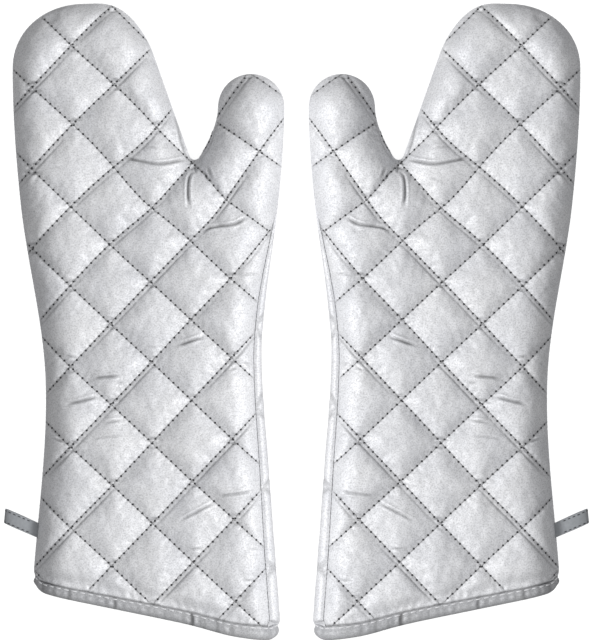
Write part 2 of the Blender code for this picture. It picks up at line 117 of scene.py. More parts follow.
# The bound hem
HEM_WIDTH = {"outer": 0.0060, "inner": 0.0078}
CUT_DROP = 0.0030  # the padded edge stands a little proud of its nominal line
CORNER_RISE, CORNER_REACH = 0.0034, 0.0050  # the cut edge climbs beside the seams
CUFF_BOW = {"depth": 0.0020, "x": 0.052, "size": 0.020}  # low bow of the cut edge
HEM_TOP = 0.0050  # where the quilting goes under the tape
HEM_PINS = 0.0075  # height over the cut edge where the hem's stitches hold the cloth
CUFF_SPAN = (-0.084, 0.084)  # x of the cuff's outer and inner sides
HEM_DRAW = {"outer": 0.0016, "inner": 0.0027}  # how far the hem draws the mitt's sides in

SIM_SCALE = 10  # the cloth solver behaves best on metre-sized cloth
SIM_FRAMES = 16
EASE_LEVELS = 10
FINENESS = {"front": 2, "back": 1}  # times that a panel is subdivided after the simulation
LEFT, RIGHT = -1, 1
rng = np.random.default_rng(11)


# ---- Small tools ----


def smoothstep(value, low, high):
    share = np.clip((value - low) / (high - low), 0, 1)
    return share * share * (3 - 2 * share)


def hermite(start, end, start_slope, end_slope, share):
    """A cubic between two values, with its slopes given per whole span."""
    s2, s3 = share * share, share**3
    return (
        start * (2 * s3 - 3 * s2 + 1)
        + end * (3 * s2 - 2 * s3)
        + start_slope * (s3 - 2 * s2 + share)
        + end_slope * (s3 - s2)
    )


def distance_to(points, line):
    """Shortest distance from each plan point to an open line."""
    starts, steps = line[:-1], np.diff(line, axis=0)
    lengths = (steps**2).sum(1)
    found = []
    for chunk in np.array_split(points, max(1, len(points) // 1500)):
        away = chunk[:, None] - starts[None]
        share = np.clip((away * steps).sum(2) / lengths, 0, 1)
        found.append(np.sqrt(((away - share[..., None] * steps) ** 2).sum(2)).min(1))
    return np.concatenate(found)


def is_inside(points, loop):
    x, y = points[:, :1], points[:, 1:]
    ax, ay = loop.T
    bx, by = np.roll(loop, -1, 0).T
    crossed = (ay > y) != (by > y)
    slope = (bx - ax) / np.where(by == ay, 1e-12, by - ay)
    return (crossed & (x < ax + slope * (y - ay))).sum(1) % 2 == 1


def resample(line, step, closed=False):
    """Evenly spaced points along a line of any dimension."""
    if closed:
        line = np.vstack([line, line[:1]])
    run = np.r_[0, np.cumsum(np.linalg.norm(np.diff(line, axis=0), axis=1))]
    count = max(2, round(run[-1] / step))
    at = np.linspace(0, run[-1], count + 1)
    if closed:
        at = at[:-1]
    return np.column_stack([np.interp(at, run, column) for column in line.T])


def smooth_line(points, step):
    """A polyline with its corners cut, evenly resampled."""
    for _ in range(3):
        ends = points[:1], points[-1:]
        quarter = points[:-1] * 0.75 + points[1:] * 0.25
        beyond = points[:-1] * 0.25 + points[1:] * 0.75
        middle = np.stack([quarter, beyond], 1).reshape(-1, points.shape[1])
        points = np.vstack([ends[0], middle, ends[1]])
    return resample(points, step)


def waves(points, size, seed, count=7):
    """Smooth random values about -1 to 1 over plan points, with hills about one size apart."""
    source = np.random.default_rng(seed)
    total = np.zeros(len(points))
    for _ in range(count):
        turn = source.uniform(0, math.tau)
        length = size * source.uniform(0.7, 1.6)
        along = points[:, 0] * math.cos(turn) + points[:, 1] * math.sin(turn)
        total += np.sin(along * math.tau / length + source.uniform(0, math.tau))
    return total / math.sqrt(count)


def ridge(value, at, width):
    """1 where a value is at a place, falling smoothly away over a width."""
    return np.exp(-(((value - at) / width) ** 2))


def unit(vectors):
    return vectors / np.linalg.norm(vectors, axis=1)[:, None]


def inwards(line):
    """Unit vectors across a line in plan, to the right of its direction."""
    along = unit(np.gradient(line, axis=0))
    return np.column_stack([along[:, 1], -along[:, 0]])


def rounding(away, reach):
    """Rises from 0 at an edge to 1 at a reach from it, as a quarter round does."""
    return 1 - (1 - np.clip(away / reach, 0, 1)) ** 2


def hill(points, centre, size):
    """1 at a centre, falling smoothly away over a size in each direction."""
    return np.exp(-((((points - centre) / size) ** 2).sum(1)))


# ---- The mitt's outline ----


def side_x(side, y):
    stations = SIDES[side]
    heights = [station[0] for station in stations]
    slopes = []
    for i in range(len(stations)):
        low, high = stations[max(i - 1, 0)], stations[min(i + 1, len(stations) - 1)]
        slopes.append((high[1] - low[1]) / (high[0] - low[0]))
    slopes[-1] = 0.0
    if y <= heights[0]:
        return stations[0][1] + slopes[0] * (y - heights[0])
    i = min(sum(y > height for height in heights) - 1, len(stations) - 2)
    span = heights[i + 1] - heights[i]
    low, high = stations[i][1], stations[i + 1][1]
    return hermite(low, high, slopes[i] * span, slopes[i + 1] * span, (y - heights[i]) / span)


def ellipse_arc(centre, radii, start, end, count):
    turns = np.linspace(start, end, count)
    return np.column_stack(
        [centre[0] + radii[0] * np.cos(turns), centre[1] + radii[1] * np.sin(turns)]
    )


def finger_side():
    """(ellipse angle, lean) of the straight inner side of the fingers."""
    lean = 0.0
    for _ in range(6):
        angle = math.atan(math.tan(lean) * FINGERS["height"] / FINGERS["width"])
        top_x = FINGERS["x"] + FINGERS["width"] * math.cos(angle)
        top_y = FINGERS["y"] + FINGERS["height"] * math.sin(angle)
        bottom_x = CROTCH["x"] - CROTCH["radius"] * math.cos(lean)
        bottom_y = CROTCH["y"] - CROTCH["radius"] * math.sin(lean)
        lean = math.atan2(bottom_x - top_x, top_y - bottom_y)
    return angle, lean


def side_line():
    """The mitt's edge from well below the outer cuff corner, round the fingers and the thumb."""
    angle, lean = finger_side()
    rises = np.arange(-0.03, FINGERS["y"], OUTLINE_STEP)
    outer = np.array([(side_x("outer", y), y) for y in rises])
    tips = ellipse_arc(
        (FINGERS["x"], FINGERS["y"]), (FINGERS["width"], FINGERS["height"]), math.pi, angle, 60
    )
    outer_half = tips[:, 0] < FINGERS["x"]
    size, centre = (FINGERS["width"], FINGERS["height"]), (FINGERS["x"], FINGERS["y"])
    shares = np.clip(np.abs(tips[outer_half] - centre) / size, 0, 1) ** FINGER_SQUARENESS
    tips[outer_half] = centre + shares * size * np.array((-1, 1))
    reach = np.clip((tips[:, 0] - FINGERS["x"]) / FINGERS["width"], 0, 1)
    bend = np.polyval(FINGER_SHOULDER[::-1], reach) * reach**2
    tips[:, 1] += FINGERS["height"] * bend
    crotch = ellipse_arc(
        (CROTCH["x"], CROTCH["y"]),
        (CROTCH["radius"], CROTCH["radius"]),
        math.pi + lean,
        math.tau - THUMB_SPLAY,
        12,
    )
    share = np.linspace(0, 1, 20)[1:-1, None]
    base = np.array((THUMB["x"] - THUMB["radius"], THUMB["y"]))
    rise = base[1] - crotch[-1][1]
    leaving = rise * np.array((math.sin(THUMB_SPLAY), math.cos(THUMB_SPLAY)))
    thumb_side = hermite(crotch[-1], base, leaving, np.array((0, rise)), share)
    radius = THUMB["radius"]
    thumb = ellipse_arc((THUMB["x"], THUMB["y"]), (radius, radius), math.pi, 0, 40)
    falls = np.arange(THUMB["y"] - OUTLINE_STEP, -0.06, -OUTLINE_STEP)
    inner = np.array([(side_x("inner", y), y) for y in falls])
    line = resample(np.vstack([outer, tips, crotch, thumb_side, thumb, inner]), OUTLINE_STEP)
    draw = np.where(line[:, 0] > 0, -HEM_DRAW["inner"], HEM_DRAW["outer"])
    line[:, 0] += draw * smoothstep(-above_cuff(line), -0.0095, -0.0045)
    return line


def cuff_height(x):
    """y of the cuff's cut edge, which is straight but for a low bow near the inner side."""
    outer, inner = side_x("outer", CUFF_SLANT), side_x("inner", 0.0)
    bow = CUFF_BOW["depth"] * ridge(x, CUFF_BOW["x"], CUFF_BOW["size"])
    return CUFF_SLANT * (inner - x) / (inner - outer) - bow


def above_cuff(plan):
    return plan[:, 1] - cuff_height(plan[:, 0])


def hem_width(x):
    return np.interp(x, CUFF_SPAN, (HEM_WIDTH["outer"], HEM_WIDTH["inner"]))


def cuff_corner_rise(away):
    """How far the cut edge climbs beside a seam, at a distance from the mitt's side."""
    share = np.clip(1 - away / CORNER_REACH, 0, 1)
    return CORNER_RISE * (1 - np.sqrt(1 - share**2))


SILHOUETTE = side_line()


def inset_line(amount):
    """The silhouette moved inwards, by an amount that may vary along it."""
    return SILHOUETTE + inwards(SILHOUETTE) * np.broadcast_to(amount, len(SILHOUETTE))[:, None]


def wrap_width(points):
    """Width of the back panel's wrapped edge beside each point of the silhouette."""
    heights, widths = zip(*WRAP)
    inner = smoothstep(points[:, 0], 0.03, 0.05)
    return np.interp(points[:, 1], heights, widths) * inner


def cut_at_cuff(line):
    """Closes a side line with the cuff's cut edge, and returns it with its number of side points."""
    above = line[:, 1] > cuff_height(line[:, 0]) + CORNER_RISE - CUT_DROP
    kept = line[above]
    xs = np.linspace(kept[-1][0], kept[0][0], 90)[1:-1]
    cut = np.column_stack([xs, cuff_height(xs) - CUT_DROP])
    cut[:, 1] += cuff_corner_rise(np.minimum(xs - xs.min(), xs.max() - xs) + 0.0006)
    kept, cut = resample(kept, SPACING), resample(np.vstack([kept[-1], cut, kept[0]]), SPACING)
    return np.vstack([kept, cut[1:-1]]), len(kept)


def thickness(points):
    share = points[:, 1] / FINGERTIP_Y
    return CUFF_THICKNESS + (FINGERTIP_THICKNESS - CUFF_THICKNESS) * share


def quilt_level(points, face):
    """Height of the panel where it is stitched down, at each plan point."""
    away, half = distance_to(points, SILHOUETTE), thickness(points) / 2
    return half + face * (half - PUFF) * rounding(away, EDGE_ROUND)


# ---- Quilted panels ----


def bend_quilting(points):
    """The quilting as it lies: a little uphill towards the thumb, and leaning outwards over it."""
    from_crossing = points - QUILT_CROSSING["front"]
    rise = from_crossing[:, 1] + QUILT_CLIMB * from_crossing[:, 0]
    rise += QUILT_STRETCH * np.minimum(from_crossing[:, 1], 0)
    over_thumb = np.clip(points[:, 1] - 0.255, 0, None)
    lean = THUMB_LEAN * over_thumb**2 / (over_thumb + 0.02) * smoothstep(points[:, 0], 0.030, 0.055)
    beside = np.clip(points[:, 0] - 0.051, 0, None) * smoothstep(points[:, 1], 0.20, 0.25)
    x = points[:, 0] - lean + waves(points, 0.11, 3) * QUILT_WANDER
    y = QUILT_CROSSING["front"][1] + rise + THUMB_CLIMB * beside
    y += waves(points, 0.11, 4) * QUILT_WANDER
    shift = 0.0014 - 0.016 * from_crossing[:, 1] * smoothstep(-points[:, 1], -0.30, -0.25)
    x += shift * np.clip(0.2 + 8 * (points[:, 0] + 0.05), 0.2, 1)
    x += 0.0042 * hill(points, (-0.012, 0.350), (0.035, 0.040))
    y -= 0.0045 * hill(points, (-0.008, 0.315), (0.022, 0.045))
    y += 0.0021 * smoothstep(points[:, 1], 0.31, 0.35) * smoothstep(-points[:, 0], 0.0, 0.045)
    return np.column_stack([x, y])


def in_cells(plan, crossing):
    """Each plan point's place in the quilting, in cells along its two directions."""
    flat = plan.copy()
    for _ in range(12):
        flat -= bend_quilting(flat) - plan
    across, along = ((flat - crossing) / (QUILT_PITCH * HALF_DIAGONAL)).T
    return np.column_stack([along + across, along - across]) / 2


def panel_plan(loop, crossing, steps=CELL_STEPS):
    """Triangulates a panel: plan points, faces, and places in the quilting (nan on the edge)."""
    spacing = QUILT_PITCH / steps
    reach = round(0.4 / spacing)
    i, j = [a.ravel() for a in np.meshgrid(*[np.arange(-reach, reach + 1)] * 2, indexing="ij")]
    points = bend_quilting(crossing + spacing * HALF_DIAGONAL * np.column_stack([i - j, i + j]))
    low, high = loop.min(0), loop.max(0)
    near = ((points > low) & (points < high)).all(1)
    points, i, j = points[near], i[near], j[near]
    kept = is_inside(points, loop)
    points, i, j = points[kept], i[kept], j[kept]
    kept = distance_to(points, np.vstack([loop, loop[:1]])) > 0.55 * spacing
    points, i, j = points[kept], i[kept], j[kept]
    count = len(loop)
    found = geometry.delaunay_2d_cdt(
        [Vector(p) for p in np.vstack([loop, points])],
        [(a, (a + 1) % count) for a in range(count)],
        [],
        1,
        1e-7,
    )
    plan = np.array([tuple(v) for v in found[0]])
    source = np.array([ids[0] if ids else 0 for ids in found[3]])
    quilt = np.full((len(plan), 2), np.nan)
    grid = source >= count
    quilt[grid] = np.column_stack([i, j])[source[grid] - count] / steps
    return plan, found[2], quilt


def pillow(quilt, squareness):
    """1 in the middle of each diamond of the quilting and 0 on its stitches."""
    cells = np.nan_to_num(quilt)
    share = cells - np.floor(cells)
    return (1 - np.abs(2 * share - 1) ** squareness).prod(1) ** 0.8


def puff_height(quilt, edge, cuff):
    """How far the wadding lifts each point, before the cloth is simulated."""
    fullness = 0.9 + 0.16 * np.sin(np.floor(np.nan_to_num(quilt)) @ CELL_LOT * 43.7)
    lift = PUFF * pillow(quilt, 3.2) * fullness
    lift *= smoothstep(edge, 0, 0.010) * smoothstep(cuff, 0.007, 0.016)
    return np.where(np.isnan(quilt[:, 0]), 0, lift)


def link(name, data):
    obj = bpy.data.objects.new(name, data)
    bpy.context.scene.collection.objects.link(obj)
    return obj


def mesh_of(name, points, faces):
    mesh = bpy.data.meshes.new(name)
    mesh.from_pydata([tuple(p) for p in points], [], faces)
    return mesh


def plan_mesh(name, plan, faces, heights):
    mesh = bpy.data.meshes.new(name)
    bm = bmesh.new()
    verts = [bm.verts.new(p) for p in np.column_stack([plan, heights])]
    for face in faces:
        bm.faces.new([verts[k] for k in face])
    bm.normal_update()
    bmesh.ops.recalc_face_normals(bm, faces=bm.faces)
    if sum(face.normal.z for face in bm.faces) < 0:
        bmesh.ops.reverse_faces(bm, faces=bm.faces)
    bm.normal_update()
    bmesh.ops.join_triangles(
        bm,
        faces=bm.faces,
        angle_face_threshold=math.radians(60),
        angle_shape_threshold=math.radians(30),
    )
    bm.to_mesh(mesh)
    bm.free()
    return mesh


def coordinates(mesh, key="co"):
    values = np.empty(len(mesh.vertices) * 3)
    mesh.vertices.foreach_get(key, values)
    return values.reshape(-1, 3)


def set_coordinates(mesh, points):
    mesh.vertices.foreach_set("co", np.ascontiguousarray(points, dtype=np.float32).ravel())
    mesh.update()


def inflate(mesh, pinned, ease):
    """Simulates the cloth of a panel, held at its stitches and pushed out by the wadding."""
    start = coordinates(mesh)
    set_coordinates(mesh, start * SIM_SCALE)
    obj = link("cloth", mesh)
    pins = obj.vertex_groups.new(name="pins")
    pins.add(np.flatnonzero(pinned).tolist(), 1.0, "REPLACE")
    tight = obj.vertex_groups.new(name="tight")
    for level in range(EASE_LEVELS + 1):
        chosen = np.flatnonzero(np.round(ease * EASE_LEVELS) == level).tolist()
        tight.add(chosen, 1 - level / EASE_LEVELS, "REPLACE")
    cloth = obj.modifiers.new("cloth", "CLOTH")
    settings = cloth.settings
    settings.quality = 6
    settings.mass = 0.3
    settings.tension_stiffness = settings.compression_stiffness = 15
    settings.shear_stiffness = 6
    settings.bending_stiffness = 0.06
    settings.tension_damping = settings.compression_damping = settings.shear_damping = 5
    settings.use_pressure = True
    settings.uniform_pressure_force = 4
    settings.vertex_group_mass = "pins"
    settings.vertex_group_shrink = "tight"
    settings.shrink_min = -0.055
    settings.shrink_max = 0.0
    settings.effector_weights.gravity = 0
    cloth.collision_settings.use_collision = False
    cloth.point_cache.frame_start = 1
    cloth.point_cache.frame_end = SIM_FRAMES
    for step in range(1, SIM_FRAMES + 1):
        bpy.context.scene.frame_set(step)
    shaped = obj.evaluated_get(bpy.context.evaluated_depsgraph_get())
    moved = coordinates(shaped.data) / SIM_SCALE - start
    bpy.context.scene.frame_set(1)
    bpy.data.objects.remove(obj)
    reach = np.linalg.norm(moved, axis=1)
    moved *= np.where(reach > PUFF_LIMIT, PUFF_LIMIT / np.maximum(reach, 1e-9), 1)[:, None]
    set_coordinates(mesh, start + moved)


def ease_of(plan):
    """How much spare cloth lies at each point, from 0 to 1: most under the crotch and at the thumb."""
    spare = 0.30 + 0.22 * waves(plan, 0.06, 21)
    for x, y, size, amount in ((0.026, 0.300, 0.020, 0.55), (0.050, 0.318, 0.014, 0.5)):
        spare += amount * np.exp(-((plan - (x, y)) ** 2).sum(1) / (2 * size**2))
    return np.clip(spare, 0, 1)


def crease(plan, path, depth, width):
    """Relief of a fold along a path: a groove between two low ridges, fading at its ends."""
    line = smooth_line(np.array(path), 0.001)
    near = np.flatnonzero(((plan > line.min(0) - 0.01) & (plan < line.max(0) + 0.01)).all(1))
    away = distance_to(plan[near], line) / width
    ends = [np.linalg.norm(plan[near] - line[end], axis=1) for end in (0, -1)]
    fade = smoothstep(np.minimum(*ends), 0.0, 0.007)
    height = np.zeros(len(plan))
    height[near] = depth * fade * (0.35 * ridge(away, 2.2, 1) - ridge(away, 0, 1))
    return height


# (depth, width) and path of each fold on the front, in the mitt's plan
DEEP, PLAIN, FAINT = (0.0017, 0.0009), (0.0012, 0.0008), (0.0006, 0.0008)
FRONT_CREASES = [
    # about the crotch, where the cloth is drawn together
    (DEEP, [(0.0210, 0.3255), (0.0113, 0.3228), (0.0009, 0.3211), (-0.0105, 0.3237), (-0.0227, 0.3263)]),
    (DEEP, [(0.0266, 0.3175), (0.0230, 0.3140), (0.0221, 0.3036), (0.0230, 0.2922)]),
    (PLAIN, [(0.0266, 0.3226), (0.0283, 0.3141)]),
    (PLAIN, [(0.0326, 0.3176), (0.0370, 0.3088)]),
    (PLAIN, [(0.0349, 0.3218), (0.0390, 0.3106)]),
    (FAINT, [(-0.0105, 0.3341), (0.0043, 0.3324)]),
    (FAINT, [(-0.0035, 0.3110), (0.0070, 0.3115)]),
    (PLAIN, [(0.0105, 0.3433), (0.0157, 0.3437)]),
    (PLAIN, [(0.0126, 0.3572), (0.0146, 0.3497), (0.0174, 0.3387), (0.0215, 0.3264), (0.0235, 0.3230)]),
    # over the thumb's base
    (PLAIN, [(0.0387, 0.3436), (0.0448, 0.3471)]),
    (DEEP, [(0.0317, 0.2748), (0.0379, 0.2792), (0.0544, 0.2800), (0.0623, 0.2861)]),
    (FAINT, [(0.0562, 0.2469), (0.0728, 0.2464)]),
    # beside the inner seam
    (PLAIN, [(0.0495, 0.1809), (0.0571, 0.1844)]),
    (PLAIN, [(0.0592, 0.1861), (0.0676, 0.1847)]),
    (FAINT, [(0.0613, 0.1373), (0.0690, 0.1387)]),
    (PLAIN, [(0.0406, 0.0956), (0.0557, 0.0975), (0.0668, 0.0988)]),
    (PLAIN, [(0.0622, 0.0940), (0.0714, 0.0936)]),
    (PLAIN, [(0.0596, 0.0378), (0.0674, 0.0383)]),
    (FAINT, [(0.0635, 0.0612), (0.0720, 0.0600)]),
    # across the palm
    (DEEP, [(0.0125, 0.1986), (0.0188, 0.1993), (0.0258, 0.2018), (0.0341, 0.2046)]),
    (FAINT, [(-0.0091, 0.1970), (0.0034, 0.1966)]),
    (PLAIN, [(0.0164, 0.0792), (0.0269, 0.0845), (0.0399, 0.0916)]),
    (PLAIN, [(0.0203, 0.0596), (0.0334, 0.0602)]),
    (FAINT, [(-0.0276, 0.0622), (-0.0217, 0.0602)]),
    # beside the outer edge
    (PLAIN, [(-0.0639, 0.1907), (-0.0586, 0.1906), (-0.0528, 0.1897)]),
    (DEEP, [(-0.0448, 0.1751), (-0.0344, 0.1767), (-0.0226, 0.1773)]),
    (PLAIN, [(-0.0279, 0.1711), (-0.0194, 0.1731)]),
    (DEEP, [(-0.0619, 0.1581), (-0.0508, 0.1600), (-0.0384, 0.1639)]),
    (PLAIN, [(-0.0358, 0.1456), (-0.0220, 0.1476)]),
    (FAINT, [(-0.0442, 0.1345), (-0.0331, 0.1365), (-0.0220, 0.1371)]),
    (PLAIN, [(-0.0743, 0.1849), (-0.0678, 0.1862)]),
    (PLAIN, [(-0.0737, 0.1352), (-0.0646, 0.1332), (-0.0593, 0.1319)]),
]


def back_creases():
    """Folds like the front's, at random places on the back."""
    folds = []
    for _ in range(26):
        start = rng.uniform((-0.07, 0.05), (0.06, 0.33))
        turn, length = rng.normal(0.1, 0.3), rng.uniform(0.010, 0.022)
        end = start + length * np.array((math.cos(turn), math.sin(turn)))
        bend = (start + end) / 2 + rng.normal(0, 0.0012, 2)
        folds.append((PLAIN if rng.random() < 0.6 else FAINT, [start, bend, end]))
    return folds


def quilted_relief(plan, cells, cuff):
    """The fine relief of quilted cloth, in metres off the smooth surface, and how much painted shade
    darkens it.
    """
    nearest = np.round(cells)
    off = (cells - nearest) * QUILT_PITCH
    relief, painted_shade_and_mottle = np.zeros(len(plan)), np.zeros(len(plan))
    for axis in (0, 1):
        away = np.abs(off[:, axis])
        along = cells[:, 1 - axis] * QUILT_PITCH
        relief -= 0.00012 * ridge(away, 0, 0.0009)
        relief += 0.00012 * np.cos(along * math.tau / STITCH_PITCH) * ridge(away, 0.0018, 0.0013)
        # painted shade along the stitches' grooves
        painted_shade_and_mottle += 0.30 * ridge(away, 0, 0.0007)
    # one side of a line of stitches tucks a little under itself, darkened there with painted shade
    folded = np.clip(0.5 + 0.6 * waves(plan, 0.05, 41), 0, 1)
    relief += 0.0003 * folded * ridge(off[:, 1], -0.0012, 0.0006)
    under = folded * ridge(off[:, 1], -0.0024, 0.0008)
    relief -= 0.0007 * under
    painted_shade_and_mottle += 0.58 * under
    # a tuck in the corners above and below each crossing, with an arc of painted shade beyond it
    rise, side = (off[:, 0] + off[:, 1]) * HALF_DIAGONAL, (off[:, 0] - off[:, 1]) * HALF_DIAGONAL
    lot = np.sin(nearest @ CELL_LOT + np.sign(rise) * 3.1) * LOT_SCALE
    strength = 0.35 + 0.9 * (lot - np.floor(lot))
    reach = np.abs(rise) + 0.10 * side**2 / 0.003
    tuck = ridge(reach, 0.0017, 0.0008) - ridge(reach, 0.0032, 0.0007)
    relief += 0.0012 * tuck * strength * ridge(side, 0, 0.0032)
    painted_shade_and_mottle += 0.55 * strength * ridge(reach, 0.0031, 0.0006) * ridge(side, 0, 0.0030)
    # cloth that is nowhere quite smooth
    free = np.clip(np.abs(off).min(1) / 0.006, 0, 1)
    relief += (0.00020 * waves(plan, 0.017, 31, 11) + 0.00009 * waves(plan, 0.0075, 32, 11)) * free
    # gathers over the binding, and a line of painted shadow along the tape's top edge
    gathers = np.sin(plan[:, 0] * math.tau / 0.0068 + 2.2 * waves(plan, 0.03, 33))
    above = cuff + CUT_DROP - hem_width(plan[:, 0])
    relief -= 0.0012 * ridge(above, 0.0003, 0.0010)
    relief += 0.00018 * gathers * ridge(above, 0.0030, 0.0030)
    painted_shade_and_mottle += 1.1 * ridge(above, 0.0004, 0.0007)
    return relief, painted_shade_and_mottle


def on_stitches(quilt):
    """True for points on a line of quilting."""
    steps = np.round(np.nan_to_num(quilt, nan=0.5) * CELL_STEPS)
    return (steps % CELL_STEPS == 0).any(1)


def subdivided(mesh, levels):
    """A copy of a mesh with its subdivision applied."""
    obj = subdivide(link("subdivided", mesh), levels)
    shaped = obj.evaluated_get(bpy.context.evaluated_depsgraph_get())
    fine = bpy.data.meshes.new_from_object(shaped)
    bpy.data.objects.remove(obj)
    return fine


def store_shade_paint(mesh, painted_shade_and_mottle):
    """Stores painted shade at each point, from 0 to 1, that darkens the cloth's colour."""
    layer = mesh.attributes.new("shade_paint", "FLOAT", "POINT")
    layer.data.foreach_set("value", np.clip(painted_shade_and_mottle, 0, 1).astype(np.float32))


class Panel:
    """One quilted panel: its mesh, its plan, and its points' places in the quilting."""

    def __init__(self, name, face, loop, side_count):
        crossing = QUILT_CROSSING["front" if face > 0 else "back"]
        plan, faces, quilt = panel_plan(loop, crossing)
        side = loop[:side_count]
        cuff = above_cuff(plan)
        heights = quilt_level(plan, 1) + puff_height(quilt, distance_to(plan, side), cuff)
        coarse = plan_mesh(name, plan, faces, heights)
        under_hem = np.abs(cuff - HEM_PINS) < 0.6 * SPACING
        inflate(coarse, on_stitches(quilt) | np.isnan(quilt[:, 0]) | under_hem, ease_of(plan))
        self.mesh = subdivided(coarse, FINENESS["front" if face > 0 else "back"])
        self.mesh.name = name
        self.face, self.loop, self.crossing = face, loop, crossing
        points = coordinates(self.mesh)
        plan = points[:, :2].copy()
        relief, painted_shade_and_mottle = quilted_relief(plan, in_cells(plan, crossing), above_cuff(plan))
        for (depth, width), path in FRONT_CREASES if face > 0 else back_creases():
            fold = crease(plan, path, depth, width)
            relief += fold
            # painted shade in each fold's groove
            painted_shade_and_mottle += np.clip(-fold / DEEP[0], 0, 1)
        edge = distance_to(plan, side)
        relief *= smoothstep(edge, 0.0, 0.003)
        if face > 0:
            seam = smoothstep(wrap_width(plan), 0.0002, 0.0015)
            relief -= SEAM_DIP * seam * ridge(edge, 0, 0.0011)
        points += coordinates(self.mesh, "normal") * relief[:, None]
        if face < 0:
            low = thickness(plan) - points[:, 2]
            points[:, 2] = (low + np.sqrt(low**2 + REST_SOFTNESS**2)) / 2
            self.mesh.flip_normals()
        set_coordinates(self.mesh, points)
        store_shade_paint(self.mesh, painted_shade_and_mottle)

    def stitch_lines(self):
        """(points, normals) along each stretch of quilting, from side to side of the panel."""
        polygons = [tuple(polygon.vertices) for polygon in self.mesh.polygons]
        surface = BVHTree.FromPolygons(coordinates(self.mesh).tolist(), polygons)
        reach = 10
        run = np.arange(-reach, reach, 1 / 32)
        for axis in (0, 1):
            for line in range(-reach, reach):
                cells = np.full((len(run), 2), float(line))
                cells[:, axis] = run
                spread = np.column_stack([cells[:, 0] - cells[:, 1], cells.sum(1)])
                plan = bend_quilting(self.crossing + QUILT_PITCH * HALF_DIAGONAL * spread)
                inside = is_inside(plan, self.loop) & (above_cuff(plan) > HEM_TOP)
                change = np.diff(inside.astype(int))
                for start, end in zip(np.flatnonzero(change == 1) + 1, np.flatnonzero(change == -1) + 1):
                    down = (0, 0, -self.face)
                    hits = [surface.ray_cast((x, y, self.face), down) for x, y in plan[start:end]]
                    hits = [hit for hit in hits if hit[0] is not None]
                    if len(hits) > 5:
                        yield np.array([hit[0] for hit in hits]), np.array([hit[1] for hit in hits])


# ---- Building objects ----


def add_object(name, mesh, *materials, smooth=True):
    obj = link(name, mesh)
    for material in materials[len(mesh.materials) :]:
        mesh.materials.append(material)
    if smooth:
        mesh.shade_smooth()
    return obj


def to_frame(points):
    """From one mitt's plan to the left mitt's place in the frame."""
    return points + (PLAN_X, PLAN_Y, 0)


def grid_faces(rows, columns, closed=False):
    """Quads between rows of points, each with the same number of columns."""
    faces = []
    for row in range(rows if closed else rows - 1):
        a, b = row * columns, (row + 1) % rows * columns
        faces += [(a + k, a + k + 1, b + k + 1, b + k) for k in range(columns - 1)]
    return faces


def subdivide(obj, levels=1):
    modifier = obj.modifiers.new("subdivision", "SUBSURF")
    modifier.levels = modifier.render_levels = levels
    return obj


def thicken(obj, amount, offset=-1.0):
    modifier = obj.modifiers.new("thickness", "SOLIDIFY")
    modifier.thickness = amount
    modifier.offset = offset
    return obj


class Stitches:
    """A mesh of separate stitches, each diving at its ends into a needle hole drawn as a dark dome of
    painted shade.
    """

    # (share of the stitch's length, share of its radius, height of its middle in radii)
    RINGS = [(0.0, 0.4, -1.2), (0.12, 0.9, -0.1), (0.5, 1.0, 0.5), (0.88, 0.9, -0.1), (1.0, 0.4, -1.2)]
    SIDES = 6
    THREAD, HOLE = 0, 1

    def __init__(self):
        self.verts, self.faces, self.kinds = [], [], []

    def ring(self, centre, right, forward, radius):
        first = len(self.verts)
        for turn in np.arange(self.SIDES) * math.tau / self.SIDES:
            self.verts.append(centre + (right * math.cos(turn) + forward * math.sin(turn)) * radius)
        return first

    def tube(self, rings, kind):
        """Joins rings of points into a closed tube. A hole's rings run the other way about."""
        turned = kind == self.HOLE
        bottom, top = (range(ring, ring + self.SIDES) for ring in (rings[0], rings[-1]))
        faces = [bottom[::-1], top] if turned else [bottom, top[::-1]]
        for low, high in zip(rings, rings[1:]):
            for k in range(self.SIDES):
                j = (k + 1) % self.SIDES
                near, far = (low + j, high + k) if turned else (high + k, low + j)
                faces.append((low + k, near, high + j, far))
        self.faces += [tuple(face) for face in faces]
        self.kinds += [kind] * len(faces)

    def stitch(self, centre, up, across, radius, lift):
        rings = [
            self.ring(c + u * (lift + height * radius), a, u, radius * share)
            for c, u, a, (_, share, height) in zip(centre, up, across, self.RINGS)
        ]
        self.tube(rings, self.THREAD)

    def hole(self, centre, up, across, radius):
        """A low dark dome in the needle hole: painted shade where the thread dives into the cloth."""
        forward = np.cross(up, across)
        rings = [
            self.ring(centre + up * radius * height, across, forward, radius * share)
            for height, share in ((-0.5, 0.9), (0.5, 1.0), (0.75, 0.6))
        ]
        self.tube(rings, self.HOLE)

    def run(self, points, normals, pitch, radius, fill, lift=0.0, hole=0.0):
        """Adds stitches along a line. fill is the share of the pitch where the thread shows."""
        lengths = np.r_[0, np.cumsum(np.linalg.norm(np.diff(points, axis=0), axis=1))]
        count = int(lengths[-1] / pitch)
        if count < 1:
            return
        pitch = lengths[-1] / count

        def at(places):
            centre, up = (
                np.column_stack([np.interp(places, lengths, c) for c in values.T])
                for values in (points, normals)
            )
            up = unit(up)
            along = centre[-1] - centre[0]
            return centre, up, unit(np.cross(along / np.linalg.norm(along), up))

        shares = np.array([ring[0] for ring in self.RINGS])
        for k in range(count):
            start = (k + (1 - fill) / 2) * pitch
            self.stitch(*at(start + shares * fill * pitch), radius, lift)
            if hole and k:
                centre, up, across = at(np.array((k - 0.1, k, k + 0.1)) * pitch)
                self.hole(centre[1], up[1], across[1], hole)

    def mesh(self, name):
        mesh = mesh_of(name, self.verts, self.faces)
        mesh.polygons.foreach_set("material_index", self.kinds)
        return mesh


# ---- Pieces of one mitt, in its plan ----


